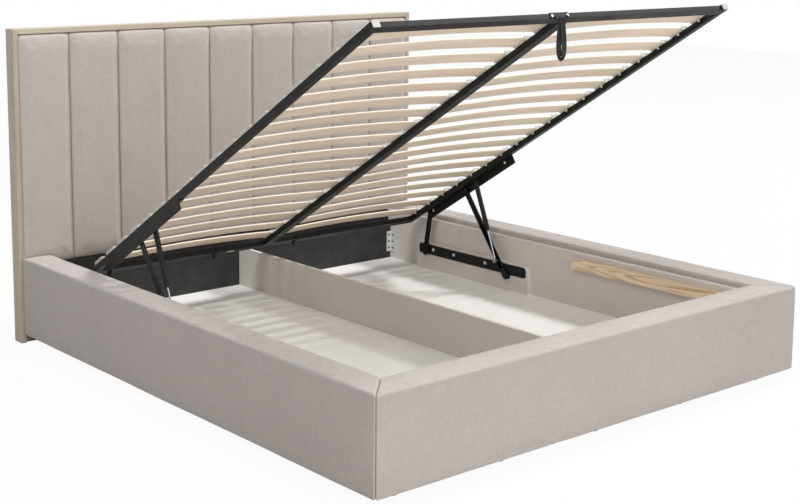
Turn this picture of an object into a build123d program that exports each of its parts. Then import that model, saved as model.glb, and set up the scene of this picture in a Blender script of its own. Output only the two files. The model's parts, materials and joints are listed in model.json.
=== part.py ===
from build123d import *
import os
from math import asin, atan2, cos, degrees, hypot, pi, radians, sin

# Storage bed with a lifting slatted platform, drawn open. Millimetres, +Z up,
# headboard at +Y, footboard at -Y, origin on the floor under the middle.
os.makedirs("parts", exist_ok=True)

# Overall sizes
bed_width = 2050
bed_length = 2199            # footboard's outer face to headboard's front
headboard_overhang = 12.5    # headboard past each rail's outer face
headboard_height = 1271
headboard_depth = 62
headboard_border = 21
rail_thickness = 124
rail_top = 352
glide_height = 34            # floor to the underside of the rails
headboard_lift = 4           # floor to the headboard's lower rail, between its posts

# Padded covers of the three rails
cover_skin = 20
cover_top = 20
lip_thickness = 12
lip_height = 38
outer_round = 25
inner_round = 20
lower_round = 8

# Boards
frame_board = 18             # carcass boards inside the rails
inner_board = 22             # boards that line the storage well
inner_board_drop = 22        # below the rails' top
rib_count = 5
head_panel_gap = 41          # room for the mechanism between head panel and lower panel
head_panel_thickness = 16
head_panel_drop = 7.5        # below the shut platform's underside
divider_thickness = 16
divider_drop = 2.5           # below the platform's underside, shut or open
bearer_height = 58
floor_thickness = 6
bearer_width = 45
bearer_count = 5
glide_radius = 20
glide_inset = 86             # feet's middles in from the rails' outer faces
glide_head_gap = 2           # last feet to the headboard
lining_thickness = 3

# Headboard build-up, from front to back
lower_panel_thickness = 15
lower_panel_drop = 36        # below the rails' top
core_thickness = 18
stiffener_thickness = 17
stiffener_width = 60
stiffener_count = 5
back_panel_thickness = 6

# Channel pads
channel_count = 9
pad_gap = 0.5                # half of the sewn seam between two pads
pad_crown = 14
pad_side = 17                # depth of a pad at its seams
pad_end_side = 7             # depth left where the pad ends roll over
pad_end_crown = 1
pad_end_round = 20
pad_end_draw = 5             # how far the sides pull in at a pad's ends
end_angle_shares = (0, 0.25, 0.5, 0.75, 1)
rail_end_gap = 1             # between a rail's end and the pads above it

# Platform frame; s runs from its foot end, n up from its underside, q from its head end
platform_head_gap = 23.5
platform_foot_gap = 11.5
platform_side_gap = 29       # platform to the boards that line the well
platform_recess = 79.5       # rails' top to the shut platform's underside
side_beam_width = 28
beam_height = 22
centre_beam_width = 42
head_beam_depth = 40
foot_beam_depth = 34
foot_beam_height = 20
foot_beam_setback = 7
tube_wall = 1.5
end_cap_thickness = 3
end_cap_plug = 12

# Slats and their holders
slat_rows = 18
slat_width = 62
slat_thickness = 7
slat_camber = 12
first_slat_from_head = 84
last_slat_from_foot = 118
slat_lift = 2.5              # slat's end above the beams
slat_end_cover = 14          # slat's end to the platform's outer side
slat_centre_gap = 12
holder_length = 66
holder_height = 13.5
side_holder_width = 35
centre_holder_width = 60
holder_setback = 4
peg_radius = 5
peg_drop = 8
peg_inset = 6

# Clips, plug, pull strap and its plate
clip_places = (-268, 152)
clip_width = 12
clip_thickness = 3
clip_hook = 16
oval_plug_place = -191
oval_plug_length = 34
oval_plug_width = 11
oval_plug_thickness = 1.5
strap_centre = -45
strap_plate_width = 88
strap_plate_thickness = 2
strap_bolt_spacing = 74
strap_bolt_radius = 5
strap_bolt_head = 2
strap_ear = 2
strap_ear_reach = 7
strap_ear_height = 7
strap_ear_drop = 5           # ear's lower end under the beam
strap_pin_radius = 1.5
strap_pivot_reach = 3        # pin's axis in front of the plate
strap_pivot_drop = 2
strap_width = 54
strap_thickness = 3
strap_eye_radius = 3         # loop of the webbing round its pin
strap_length = 138
strap_room = 45              # half of the gap in the foot rest around the strap

# Lift mechanism
open_tilt = 31.8             # degrees
rear_arm_open_angle = 99.9   # degrees from +Y towards +Z
rear_arm_length = 188
rear_pivot_from_headboard = 349
rear_pivot_drop = 93.5       # below the shut platform's underside
front_pivot_drop = 110
rear_joint_from_head = 153
front_joint_from_head = 426
joint_drop = 19              # joints below the platform's underside
arm_width = 28
arm_thickness = 5.3
arm_to_flange = 2.2
arm_slack = 0.2              # each side of an arm on its pin
arm_to_plate = 9.2
pivot_radius = 5
running_clearance = 0.05
rivet_head_radius = 8
rivet_head = 4
bush_radius = 9
outer_head = 2
open_pivot_gap = 0.5

# Plates of the mechanism
top_plate_from_head = 133
top_plate_length = 631
top_plate_flange = 38
top_plate_thickness = 3
top_flange_thickness = 4
plate_corner = 6
plate_bolt_radius = 6
plate_bolt_head = 1.8
plate_bolt_drop = 12
plate_bolts_from_head = (176, 709)
base_plate_thickness = 4
base_plate_from_headboard = 295
base_plate_length = 682
base_plate_height = 45
base_plate_below_pivot = 9.5 # plate's lower edge under the rear pivot
base_tab_radius = 12
base_bolts_from_headboard = (393, 530, 732)
base_bolt_rise = 26          # above the plate's lower edge
base_bolt_radius = 7
base_bolt_head = 3
base_bolt_shank = 4
base_bolt_depth = 18
mounting_board_from_headboard = 278
mounting_board_length = 711
mounting_board_rise = 8      # above the base plate
mounting_board_round = 40

# Gas strut
strut_plane_inset = 25       # strut's middle plane inside the platform's outer side
strut_joint_from_head = 521
strut_joint_drop = 16
strut_lever = 78             # lower ball along the front arm from its pivot
eye_width = 16
eye_radius = 10.5
strut_pin_clip = 2
stud_collar_radius = 7
cylinder_radius = 10.5
cylinder_length = 224
cylinder_bore_depth = 124
gland_length = 10
gland_radius = 8
rod_radius = 4
rod_overlap = 20             # rod left inside the cylinder when the bed is open
socket_radius = 8.5
ball_collar_radius = 6

# Battens, brackets and screws
side_batten_thickness = 20
side_batten_drop = 47        # batten's top below the rails' top
side_batten_height = 43
side_batten_from_foot = 150
side_batten_length = 816
side_batten_round = 21
foot_rest_depth = 30
foot_rest_height = 43
rest_gap = 0.5               # under the shut platform
bracket_drop = 38            # below the head panel's top
bracket_height = 98
bracket_long_leg = 38
bracket_short_leg = 24
bracket_thickness = 2
bracket_hole_radius = 3.5
bracket_hole_shares = (0.18, 0.5, 0.82)
screw_shank_radius = 2
screw_shank_length = 14
screw_head_radius = 4.5
screw_head = 1.5
batten_screw_share = 0.1     # end screws in from a batten's ends
overrun = 5                  # how far a cutting shape passes the face it cuts
solid_overlap = 0.5          # how far fused solids reach into each other

# Places worked out from the sizes above
half_length = (bed_length + headboard_depth) / 2
foot_y = -half_length
head_y = foot_y + bed_length
back_y = head_y + headboard_depth
outer_x = bed_width / 2
cover_x = outer_x - rail_thickness
well_x = cover_x - inner_board
platform_half_width = well_x - platform_side_gap
closed_level = rail_top - platform_recess
well_foot_y = foot_y + rail_thickness
head_panel_back_y = head_y - head_panel_gap
well_head_y = head_panel_back_y - head_panel_thickness
post_x = outer_x + headboard_overhang
headboard_inner_x = post_x - headboard_border
headboard_inner_top = headboard_height - headboard_border
core_front_y = head_y + lower_panel_thickness
core_back_y = core_front_y + core_thickness
frame_top = rail_top - cover_top
lip_bottom = rail_top - lip_height
inner_board_top = rail_top - inner_board_drop
lower_panel_top = rail_top - lower_panel_drop
head_panel_top = closed_level - head_panel_drop
floor_underside = glide_height + bearer_height
floor_top = floor_underside + floor_thickness
bracket_high = head_panel_top - bracket_drop
bracket_low = bracket_high - bracket_height
batten_z = (rail_top - side_batten_drop - side_batten_height, rail_top - side_batten_drop)
batten_foot_y = foot_y + side_batten_from_foot
batten_head_y = batten_foot_y + side_batten_length

platform_length = bed_length - platform_head_gap - rail_thickness - platform_foot_gap
slat_pitch = (platform_length - first_slat_from_head - last_slat_from_foot) / (slat_rows - 1)
side_beam_x = platform_half_width - side_beam_width
flange_x = platform_half_width - top_flange_thickness
arm_outer_x = flange_x - arm_to_flange
arm_inner_x = arm_outer_x - arm_thickness
base_plate_x = arm_outer_x + arm_to_plate
mounting_x = base_plate_x + base_plate_thickness
strut_x = platform_half_width - strut_plane_inset

# The four-bar lift: rear pivot, rear joint, front joint and front pivot, open and shut
tilt = radians(open_tilt)
rear_pivot = (head_y - rear_pivot_from_headboard, closed_level - rear_pivot_drop)
rear_angle = radians(rear_arm_open_angle)
rear_joint_y = rear_pivot[0] + rear_arm_length * cos(rear_angle)
rear_joint_z = rear_pivot[1] + rear_arm_length * sin(rear_angle)
joint_spacing = front_joint_from_head - rear_joint_from_head
shut_joint_z = closed_level - joint_drop
shut_angle = asin((shut_joint_z - rear_pivot[1]) / rear_arm_length)
shut_rear_y = rear_pivot[0] + rear_arm_length * cos(shut_angle)
front_joint_y = rear_joint_y - joint_spacing * cos(tilt)
front_joint_z = rear_joint_z + joint_spacing * sin(tilt)
shut_front_y = shut_rear_y - joint_spacing
slope = (shut_joint_z - front_joint_z) / (shut_front_y - front_joint_y)
middle_y = (front_joint_y + shut_front_y) / 2
middle_z = (front_joint_z + shut_joint_z) / 2
front_pivot_z = closed_level - front_pivot_drop
front_pivot = (middle_y - (front_pivot_z - middle_z) * slope, front_pivot_z)
front_arm_length = hypot(front_joint_y - front_pivot[0], front_joint_z - front_pivot[1])

# The base plate's edges, from the headboard and the rear pivot
base_plate_low = rear_pivot[1] - base_plate_below_pivot
base_plate_high = base_plate_low + base_plate_height
base_plate_head = head_y - base_plate_from_headboard
base_plate_foot = base_plate_head - base_plate_length
mounting_board_head = head_y - mounting_board_from_headboard

# Where the open platform's foot end lies, and the move that takes (s, n) to the bed
rear_joint_s = platform_length - rear_joint_from_head
platform_y = rear_joint_y - rear_joint_s * cos(tilt) + joint_drop * sin(tilt)
platform_z = rear_joint_z + rear_joint_s * sin(tilt) + joint_drop * cos(tilt)
open_head_z = platform_z - platform_length * sin(tilt)
divider_top = min(closed_level, open_head_z) - divider_drop
platform_place = Pos(0, platform_y, platform_z) * Rot(-open_tilt, 0, 0)


# Small helpers
def block(x, y, z):
    """A box between pairs of limits."""
    middle = Pos((x[0] + x[1]) / 2, (y[0] + y[1]) / 2, (z[0] + z[1]) / 2)
    return middle * Box(x[1] - x[0], y[1] - y[0], z[1] - z[0])


def bar_x(x, place, radius):
    """A round bar along X through a place in Y and Z."""
    return Pos((x[0] + x[1]) / 2, place[0], place[1]) * Rot(0, 90, 0) * Cylinder(radius, x[1] - x[0])


def bar_y(y, place, radius):
    """A round bar along Y through a place in X and Z."""
    return Pos(place[0], (y[0] + y[1]) / 2, place[1]) * Rot(90, 0, 0) * Cylinder(radius, y[1] - y[0])


def link_bar(x, start, end, width):
    """A flat bar with round ends between two places in Y and Z."""
    run = hypot(end[0] - start[0], end[1] - start[1])
    turn = degrees(atan2(end[1] - start[1], end[0] - start[0]))
    middle = Pos((start[0] + end[0]) / 2, (start[1] + end[1]) / 2)
    outline = Plane.YZ.offset(x[0]) * middle * Rot(0, 0, turn) * SlotCenterToCenter(run, width)
    return extrude(outline, amount=x[1] - x[0])


def plate_x(x, y, z, radius):
    """A plate across X with four round corners."""
    middle = Pos((y[0] + y[1]) / 2, (z[0] + z[1]) / 2)
    outline = Plane.YZ.offset(x[0]) * middle * RectangleRounded(y[1] - y[0], z[1] - z[0], radius)
    return extrude(outline, amount=x[1] - x[0])


def tube(x, y, z, along):
    """A square steel tube, open at both ends along the named axis."""
    spans = [x, y, z]
    bore = [(low + tube_wall, high - tube_wall) for low, high in spans]
    bore[along] = (spans[along][0] - overrun, spans[along][1] + overrun)
    return block(*spans) - block(*bore)


def other_side(shape):
    return mirror(shape, about=Plane.YZ)


def on_platform(shapes):
    return [platform_place * shape for shape in shapes]


def save(node, shapes):
    solids = [solid for shape in shapes for solid in shape.solids()]
    export_step(Compound(solids), f"parts/{node}.step")


def save_pair(node, shapes):
    save(f"{node}_right", shapes)
    save(f"{node}_left", [other_side(shape) for shape in shapes])


def evenly(low, high, count):
    return [low + (high - low) * index / (count - 1) for index in range(count)]


# Headboard
def headboard_post():
    return block((headboard_inner_x, post_x), (head_y, back_y), (0, headboard_height))


def headboard_top_rail():
    x = (-headboard_inner_x, headboard_inner_x)
    return block(x, (head_y, back_y), (headboard_inner_top, headboard_height))


def headboard_bottom_rail():
    x = (-headboard_inner_x, headboard_inner_x)
    z = (headboard_lift, headboard_lift + headboard_border)
    return block(x, (core_back_y, back_y), z)


def headboard_core():
    x = (-headboard_inner_x, headboard_inner_x)
    return block(x, (core_front_y, core_back_y), (headboard_lift, headboard_inner_top))


def headboard_lower_panel():
    x = (-headboard_inner_x, headboard_inner_x)
    return block(x, (head_y, core_front_y), (headboard_lift, lower_panel_top))


def headboard_stiffeners():
    reach = headboard_inner_x - stiffener_width / 2
    y = (core_back_y, core_back_y + stiffener_thickness)
    z = (headboard_lift + headboard_border, headboard_inner_top)
    places = evenly(-reach, reach, stiffener_count)
    return [block((x - stiffener_width / 2, x + stiffener_width / 2), y, z) for x in places]


def headboard_back_panel():
    x = (-headboard_inner_x, headboard_inner_x)
    front = core_back_y + stiffener_thickness
    z = (headboard_lift + headboard_border, headboard_inner_top)
    return block(x, (front, front + back_panel_thickness), z)


def pad_section(middle_x, half, share, z):
    """One level section of a pad: flat back, short sides and a crowned front."""
    half = half - pad_end_draw * (1 - share)
    side_y = core_front_y - pad_end_side - (pad_side - pad_end_side) * share
    crown_y = side_y - pad_end_crown - (pad_crown - pad_end_crown) * share
    left = middle_x - half
    right = middle_x + half
    with BuildLine(Plane.XY.offset(z)) as outline:
        Polyline((right, side_y), (right, core_front_y), (left, core_front_y), (left, side_y))
        ThreePointArc((left, side_y), (middle_x, crown_y), (right, side_y))
    return make_face(outline.line)


def channel_pad(middle_x, half):
    """A sewn channel whose two ends roll over to the board behind it."""
    low = lower_panel_top
    high = headboard_inner_top
    sections = []
    for share in end_angle_shares:
        turn = share * pi / 2
        sections.append((sin(turn), low + pad_end_round * (1 - cos(turn))))
    for share in reversed(end_angle_shares):
        turn = share * pi / 2
        sections.append((sin(turn), high - pad_end_round * (1 - cos(turn))))
    return loft([pad_section(middle_x, half, share, z) for share, z in sections], ruled=True)


def headboard_channels():
    pitch = headboard_inner_x * 2 / channel_count
    y = (head_y - rail_thickness, head_y)
    lining_x = well_x - lining_thickness - rail_end_gap
    rail_end = block((cover_x - rail_end_gap, outer_x + overrun), y, (0, rail_top + rail_end_gap))
    rail_end += block((lining_x, outer_x), y, (0, inner_board_top + rail_end_gap))
    pads = []
    for index in range(channel_count):
        middle_x = (index - (channel_count - 1) / 2) * pitch
        pads.append(channel_pad(middle_x, pitch / 2 - pad_gap) - rail_end - other_side(rail_end))
    return pads


# Rails and their padded covers
def cover_outline():
    """The cover's section: x in from the outer face, y up from the floor."""
    points = [
        (0, glide_height),
        (cover_skin, glide_height),
        (cover_skin, frame_top),
        (rail_thickness - lip_thickness, frame_top),
        (rail_thickness - lip_thickness, lip_bottom),
        (rail_thickness, lip_bottom),
        (rail_thickness, rail_top),
        (0, rail_top),
    ]
    face = make_face(Polyline(*points, close=True))
    rounds = [((0, rail_top), outer_round), ((rail_thickness, rail_top), inner_round)]
    rounds.append(((0, glide_height), lower_round))
    for point, radius in rounds:
        corner = face.vertices().sort_by_distance((point[0], point[1], 0))[0]
        face = fillet(corner, radius)
    return face


def mitre_wedge(keep_side):
    """The corner that a mitre takes off the side cover, or off the foot cover."""
    start = (outer_x + overrun, foot_y - overrun)
    end = (cover_x - overrun, well_foot_y + overrun)
    corner = (end[0], start[1]) if keep_side else (start[0], end[1])
    outline = make_face(Polyline(start, corner, end, close=True))
    return extrude(outline, amount=rail_top + overrun)


def side_rail_cover():
    plane = Plane((outer_x, foot_y, 0), x_dir=(-1, 0, 0), z_dir=(0, 1, 0))
    return extrude(plane * cover_outline(), amount=bed_length) - mitre_wedge(True)


def footboard_cover():
    plane = Plane((-outer_x, foot_y, 0), x_dir=(0, 1, 0), z_dir=(1, 0, 0))
    cover = extrude(plane * cover_outline(), amount=bed_width)
    return cover - mitre_wedge(False) - other_side(mitre_wedge(False))


def side_rail_frame():
    """Outer board, top board and the ribs that stand between them and the lining board."""
    skin_x = outer_x - cover_skin
    board_x = skin_x - frame_board
    y = (well_foot_y, head_y)
    pieces = [block((board_x, skin_x), (foot_y + cover_skin, head_y), (glide_height, frame_top))]
    top = block((cover_x + lip_thickness, board_x), y, (lip_bottom, frame_top))
    pieces.append(top)
    for middle in evenly(y[0] + frame_board / 2, y[1] - frame_board / 2, rib_count):
        rib_y = (middle - frame_board / 2, middle + frame_board / 2)
        pieces.append(block((cover_x, board_x), rib_y, (glide_height, lip_bottom)))
    return pieces


def footboard_frame():
    skin_y = foot_y + cover_skin
    board_y = skin_y + frame_board
    end_x = outer_x - cover_skin - frame_board
    inner_y = well_foot_y - inner_board
    pieces = [block((-end_x, end_x), (skin_y, board_y), (glide_height, frame_top))]
    pieces.append(block((-end_x, end_x), (board_y, well_foot_y - lip_thickness), (lip_bottom, frame_top)))
    for middle in evenly(frame_board / 2 - cover_x, cover_x - frame_board / 2, rib_count):
        rib_x = (middle - frame_board / 2, middle + frame_board / 2)
        pieces.append(block(rib_x, (board_y, inner_y), (glide_height, lip_bottom)))
    return pieces


def side_inner_board():
    return block((well_x, cover_x), (well_foot_y, head_y), (glide_height, inner_board_top))


def foot_inner_board():
    return block((-cover_x, cover_x), (well_foot_y - inner_board, well_foot_y), (glide_height, lip_bottom))


# Storage well
def head_panel():
    return block((-well_x, well_x), (well_head_y, head_panel_back_y), (glide_height, head_panel_top))


def head_bay_lining():
    inner = well_x - lining_thickness
    side = block((inner, well_x), (head_panel_back_y, head_y), (glide_height, inner_board_top))
    return [side, other_side(side)]


def centre_divider():
    half = divider_thickness / 2
    return block((-half, half), (well_foot_y, well_head_y), (floor_underside, divider_top))


def floor_panel():
    z = (floor_underside, floor_top)
    return block((divider_thickness / 2, well_x), (well_foot_y, well_head_y), z)


def floor_bearers():
    half = bearer_width / 2
    z = (glide_height, floor_underside)
    places = evenly(well_foot_y + half, well_head_y - half, bearer_count)
    return [block((-well_x, well_x), (middle - half, middle + half), z) for middle in places]


def glide_feet():
    """Feet under the side rails' ribs, under the foot rail's ribs and down the middle."""
    side_x = outer_x - glide_inset
    first = well_foot_y + frame_board / 2
    last = head_y - glide_radius - glide_head_gap
    ribs = evenly(first, head_y - frame_board / 2, rib_count)
    places = [(side_x, min(y, last)) for y in ribs]
    places += [(-x, y) for x, y in places]
    middle_feet = evenly(well_foot_y + bearer_width / 2, well_head_y - bearer_width / 2, bearer_count)
    places += [(0, y) for y in middle_feet]
    foot_row_y = foot_y + glide_inset
    reach = cover_x - frame_board / 2
    places += [(x, foot_row_y) for x in evenly(-reach, reach, rib_count)]
    return [Pos(x, y, glide_height / 2) * Cylinder(glide_radius, glide_height) for x, y in places]


# Battens, mounting boards and brackets
def side_batten():
    """Pine batten on the lining board, with its head end rounded."""
    x = (well_x - side_batten_thickness, well_x)
    batten = block(x, (batten_foot_y, batten_head_y), batten_z)
    corner = batten.edges().filter_by(Axis.X).group_by(Axis.Y)[-1].sort_by(Axis.Z)[-1]
    return fillet(corner, side_batten_round)


def foot_rests():
    """The battens that carry the platform's foot end, parted around the pull strap."""
    top = closed_level - rest_gap
    y = (well_foot_y, well_foot_y + foot_rest_depth)
    z = (top - foot_rest_height, top)
    right = block((divider_thickness / 2, well_x - side_batten_thickness), y, z)
    left = block((side_batten_thickness - well_x, strap_centre - strap_room), y, z)
    return [right, left]


def mounting_board():
    x = (mounting_x, well_x)
    y = (mounting_board_head - mounting_board_length, mounting_board_head)
    board = block(x, y, (floor_top, base_plate_high + mounting_board_rise))
    corner = board.edges().filter_by(Axis.X).group_by(Axis.Y)[0].sort_by(Axis.Z)[-1]
    return fillet(corner, mounting_board_round)


def bracket_holes():
    """Places of the bracket's screws: height, and how far along each leg."""
    rise = bracket_high - bracket_low
    return [bracket_low + rise * share for share in bracket_hole_shares]


def corner_bracket():
    z = (bracket_low, bracket_high)
    side_y = (well_head_y - bracket_long_leg, well_head_y)
    head_x = (well_x - bracket_short_leg, well_x)
    long_leg = block((well_x - bracket_thickness, well_x), side_y, z)
    short_leg = block(head_x, (well_head_y - bracket_thickness, well_head_y), z)
    bracket = long_leg + short_leg
    for height in bracket_holes():
        long_place = (well_head_y - bracket_long_leg / 2, height)
        bracket -= bar_x((well_x - bracket_long_leg, well_x + overrun), long_place, bracket_hole_radius)
        short_place = (well_x - bracket_short_leg / 2, height)
        bracket -= bar_y((well_head_y - overrun, well_head_y + overrun), short_place, bracket_hole_radius)
    return bracket


def screw_x(face_x, place):
    """A screw into a face that looks towards -X."""
    head = bar_x((face_x - screw_head, face_x), place, screw_head_radius)
    shank = bar_x((face_x - screw_head / 2, face_x + screw_shank_length), place, screw_shank_radius)
    return head + shank


def screw_y(face_y, place):
    """A screw into a face that looks towards -Y."""
    head = bar_y((face_y - screw_head, face_y), place, screw_head_radius)
    shank = bar_y((face_y - screw_head / 2, face_y + screw_shank_length), place, screw_shank_radius)
    return head + shank


def batten_screw(place):
    """A screw from behind the lining board into the batten, its head sunk in the board."""
    head = bar_x((cover_x - screw_head, cover_x), place, screw_head_radius)
    shank_x = (well_x - screw_shank_length, cover_x - screw_head / 2)
    return head + bar_x(shank_x, place, screw_shank_radius)


def side_screws():
    """Screws on the right side: bracket legs and pine batten."""
    screws = []
    for height in bracket_holes():
        face = well_x - bracket_thickness
        screws.append(screw_x(face, (well_head_y - bracket_long_leg / 2, height)))
        short_place = (well_x - bracket_short_leg / 2, height)
        screws.append(screw_y(well_head_y - bracket_thickness, short_place))
    middle_z = (batten_z[0] + batten_z[1]) / 2
    for share in (batten_screw_share, 1 / 2, 1 - batten_screw_share):
        place = (batten_foot_y + side_batten_length * share, middle_z)
        screws.append(batten_screw(place))
    return screws


def base_bolt(from_headboard):
    """A bolt through the base plate into the mounting board."""
    place = (head_y - from_headboard, base_plate_low + base_bolt_rise)
    head = bar_x((base_plate_x - base_bolt_head, base_plate_x), place, base_bolt_radius)
    shank_x = (base_plate_x - base_bolt_head / 2, base_plate_x + base_bolt_depth)
    return head + bar_x(shank_x, place, base_bolt_shank)


# Lift mechanism on the bed's base
def pivot_pin(place, support, reach):
    """A headed pin along X from its support, with a bush that spaces the arm off it."""
    bush = bar_x((arm_outer_x + arm_slack, support), place, bush_radius)
    shank = bar_x((arm_inner_x - arm_slack - rivet_head / 2, reach), place, pivot_radius)
    head_x = (arm_inner_x - arm_slack - rivet_head, arm_inner_x - arm_slack)
    return bush + shank + bar_x(head_x, place, rivet_head_radius)


def base_plate():
    """The flat plate, its two ends reaching to the pivots."""
    x = (base_plate_x, mounting_x)
    y = (base_plate_foot, base_plate_head)
    plate = plate_x(x, y, (base_plate_low, base_plate_high), base_tab_radius)
    front_lug = link_bar(x, front_pivot, (front_pivot[0], base_plate_low + arm_width / 2), arm_width)
    plate = plate + front_lug
    for from_headboard in base_bolts_from_headboard:
        plate -= base_bolt(from_headboard)
    for place in (rear_pivot, front_pivot):
        plate -= bar_x((base_plate_x - overrun, mounting_x + overrun), place, pivot_radius)
    return plate


def base_pins():
    return [pivot_pin(place, base_plate_x, mounting_x) for place in (rear_pivot, front_pivot)]


def rear_arm():
    x = (arm_inner_x, arm_outer_x)
    joint = (rear_joint_y, rear_joint_z)
    arm = link_bar(x, rear_pivot, joint, arm_width)
    for place in (rear_pivot, joint):
        arm -= bar_x((x[0] - overrun, x[1] + overrun), place, pivot_radius + running_clearance)
    return arm


def lower_ball_place():
    share = strut_lever / front_arm_length
    y = front_pivot[0] + (front_joint_y - front_pivot[0]) * share
    z = front_pivot[1] + (front_joint_z - front_pivot[1]) * share
    return (y, z)


def front_arm():
    """The long arm; its upper rivet and the strut's stud are fixed in plain holes."""
    x = (arm_inner_x, arm_outer_x)
    joint = (front_joint_y, front_joint_z)
    arm = link_bar(x, front_pivot, joint, arm_width)
    holes = [(front_pivot, pivot_radius + running_clearance)]
    holes += [(joint, pivot_radius), (lower_ball_place(), pivot_radius)]
    for place, radius in holes:
        arm -= bar_x((x[0] - overrun, x[1] + overrun), place, radius)
    return arm


def front_arm_rivet():
    """The riveted end of the front joint; it stops just short of the platform's flange."""
    joint = (front_joint_y, front_joint_z)
    head = bar_x((arm_inner_x - rivet_head, arm_inner_x), joint, rivet_head_radius)
    shank_x = (arm_inner_x - rivet_head / 2, arm_outer_x + open_pivot_gap)
    return head + bar_x(shank_x, joint, pivot_radius)


def ball_stud():
    """The stud on the front arm that the gas strut's lower socket sits on."""
    place = lower_ball_place()
    tip_x = strut_x + eye_width / 2 + open_pivot_gap
    collar = bar_x((tip_x, arm_inner_x), place, ball_collar_radius)
    return collar + bar_x((arm_inner_x - rivet_head / 2, arm_outer_x), place, pivot_radius)


# Platform, drawn flat in s and n and then moved to its open place
def side_beam():
    s = (end_cap_thickness, platform_length)
    return tube((side_beam_x, platform_half_width), s, (0, beam_height), 1)


def centre_beam():
    half = centre_beam_width / 2
    s = (foot_beam_setback + foot_beam_depth, platform_length - head_beam_depth)
    return tube((-half, half), s, (0, beam_height), 1)


def head_beam():
    s = (platform_length - head_beam_depth, platform_length)
    return tube((-side_beam_x, side_beam_x), s, (0, beam_height), 0)


def foot_beam():
    s = (foot_beam_setback, foot_beam_setback + foot_beam_depth)
    return tube((-side_beam_x, side_beam_x), s, (0, foot_beam_height), 0)


def beam_end_cap():
    """White cap on a side beam's foot end, with a plug inside the tube."""
    face = block((side_beam_x, platform_half_width), (0, end_cap_thickness), (0, beam_height))
    plug_x = (side_beam_x + tube_wall, platform_half_width - tube_wall)
    plug_z = (tube_wall, beam_height - tube_wall)
    return face + block(plug_x, (end_cap_thickness / 2, end_cap_plug), plug_z)


def oval_plug():
    """White oval plug under the head beam."""
    middle = Pos(oval_plug_place, platform_length - head_beam_depth / 2, -oval_plug_thickness)
    return extrude(middle * SlotOverall(oval_plug_length, oval_plug_width), amount=oval_plug_thickness)


def slat():
    """One cambered slat of the right column, across X at s of zero."""
    inner = slat_centre_gap / 2
    outer = platform_half_width - slat_end_cover
    middle = (inner + outer) / 2
    low = beam_height + slat_lift
    high = low + slat_thickness
    with BuildLine(Plane.XZ) as outline:
        ThreePointArc((inner, low), (middle, low + slat_camber), (outer, low))
        Line((outer, low), (outer, high))
        ThreePointArc((outer, high), (middle, high + slat_camber), (inner, high))
        Line((inner, high), (inner, low))
    return extrude(make_face(outline.line), amount=slat_width / 2, both=True)


def slat_places():
    first = last_slat_from_foot
    return [first + slat_pitch * index for index in range(slat_rows)]


def side_slat_holder():
    """Moulded cap on the side beam that takes a slat's end, with a peg beside the beam."""
    outer = platform_half_width - holder_setback
    x = (outer - side_holder_width, outer)
    s = (-holder_length / 2, holder_length / 2)
    body = block(x, s, (beam_height, beam_height + holder_height)) - slat()
    peg_x = x[0] + peg_inset
    peg_rise = peg_drop + solid_overlap
    peg = Pos(peg_x, 0, beam_height - peg_drop + peg_rise / 2) * Cylinder(peg_radius, peg_rise)
    return body + peg


def centre_slat_holder():
    """Double cap on the centre beam, open to both columns of slats."""
    x = (-centre_holder_width / 2, centre_holder_width / 2)
    s = (-holder_length / 2, holder_length / 2)
    body = block(x, s, (beam_height, beam_height + holder_height))
    return body - slat() - other_side(slat())


def repeated(shape):
    return [Pos(0, s, 0) * shape for s in slat_places()]


def head_beam_clip(middle):
    """A bent strip across the head beam: foot face, underside, then a short hook down."""
    x = (middle - clip_width / 2, middle + clip_width / 2)
    foot_s = platform_length - head_beam_depth
    face = block(x, (foot_s - clip_thickness, foot_s), (-clip_thickness, beam_height))
    under = block(x, (foot_s - clip_thickness, platform_length), (-clip_thickness, 0))
    hook_s = (platform_length - clip_thickness, platform_length)
    return face + under + block(x, hook_s, (-clip_hook, 0))


def strap_plate():
    """Angle plate on the foot beam, with two ears that hold the strap's pin."""
    half = strap_plate_width / 2
    x = (strap_centre - half, strap_centre + half)
    front = foot_beam_setback - strap_plate_thickness
    top = foot_beam_height + strap_plate_thickness
    plate = block(x, (front, foot_beam_setback), (0, top))
    plate += block(x, (front, foot_beam_setback + foot_beam_depth), (foot_beam_height, top))
    ear_x = strap_width / 2 + strap_pin_radius
    ears = []
    for side in (-1, 1):
        near = strap_centre + side * ear_x
        far = near + side * strap_ear
        limits = (min(near, far), max(near, far))
        ear_s = (front - strap_ear_reach, front + solid_overlap)
        ears.append(block(limits, ear_s, (-strap_ear_drop, strap_ear_height)))
    reach = ear_x + strap_ear / 2
    pin = bar_x((strap_centre - reach, strap_centre + reach), strap_pivot(), strap_pin_radius)
    return plate + ears[0] + ears[1] + pin


def strap_pivot():
    """The strap's pin in s and n."""
    front = foot_beam_setback - strap_plate_thickness
    return (front - strap_pivot_reach, -strap_pivot_drop)


def strap_bolts():
    front = foot_beam_setback - strap_plate_thickness
    bolts = []
    for side in (-1, 1):
        place = (strap_centre + side * strap_bolt_spacing / 2, foot_beam_height / 2)
        bolts.append(bar_y((front - strap_bolt_head, front), place, strap_bolt_radius))
    return bolts


def pull_strap():
    """A flat loop of webbing that hangs straight down from its pin."""
    pivot_s, pivot_n = strap_pivot()
    x = (strap_centre - strap_width / 2, strap_centre + strap_width / 2)
    end = (pivot_s + strap_length * sin(tilt), pivot_n - strap_length * cos(tilt))
    webbing = link_bar(x, (pivot_s, pivot_n), end, strap_thickness)
    webbing += bar_x(x, strap_pivot(), strap_eye_radius)
    bore_radius = strap_pin_radius + running_clearance
    return webbing - bar_x((x[0] - overrun, x[1] + overrun), strap_pivot(), bore_radius)


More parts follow.
